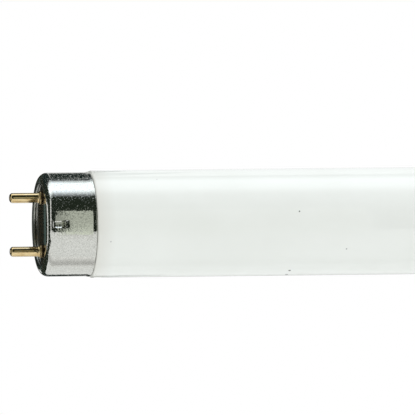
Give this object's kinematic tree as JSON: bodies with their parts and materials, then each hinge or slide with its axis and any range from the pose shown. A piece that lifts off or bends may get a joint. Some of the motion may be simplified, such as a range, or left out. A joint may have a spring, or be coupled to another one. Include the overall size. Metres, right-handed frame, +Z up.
{
  "type": "fluorescent tube",
  "caption": "Straight white fluorescent tube with staked aluminium end caps, dark insulating discs and brass contact pins that plug into lampholders.",
  "frame": {"origin": "middle of the tube, halfway between the cap faces and on the tube's axis", "axes": "+X along the tube, with the pictured end at -X; +Z up, with the pins of each cap one above the other"},
  "size_m": [0.604, 0.0254, 0.0254],
  "materials": {
    "coated_glass": "smooth and glossy, opaque white from the coat inside",
    "shell_aluminium": "bright drawn sheet with fine draw lines",
    "phenolic": "dark brown, moulded and glossy",
    "pin_brass": "polished",
    "basing_cement": "baked resin cement",
    "lead_metal": "drawn wire"
  },
  "bodies": {
    "root": {"glass_tube": "coated_glass", "left_cap_shell": "shell_aluminium", "left_insulating_disc": "phenolic", "left_cement_ring": "basing_cement", "left_upper_pin": "pin_brass", "left_upper_lead_wire": "lead_metal", "left_lower_pin": "pin_brass", "left_lower_lead_wire": "lead_metal", "right_cap_shell": "shell_aluminium", "right_insulating_disc": "phenolic", "right_cement_ring": "basing_cement", "right_upper_pin": "pin_brass", "right_upper_lead_wire": "lead_metal", "right_lower_pin": "pin_brass", "right_lower_lead_wire": "lead_metal"}
  },
  "joints": []
}
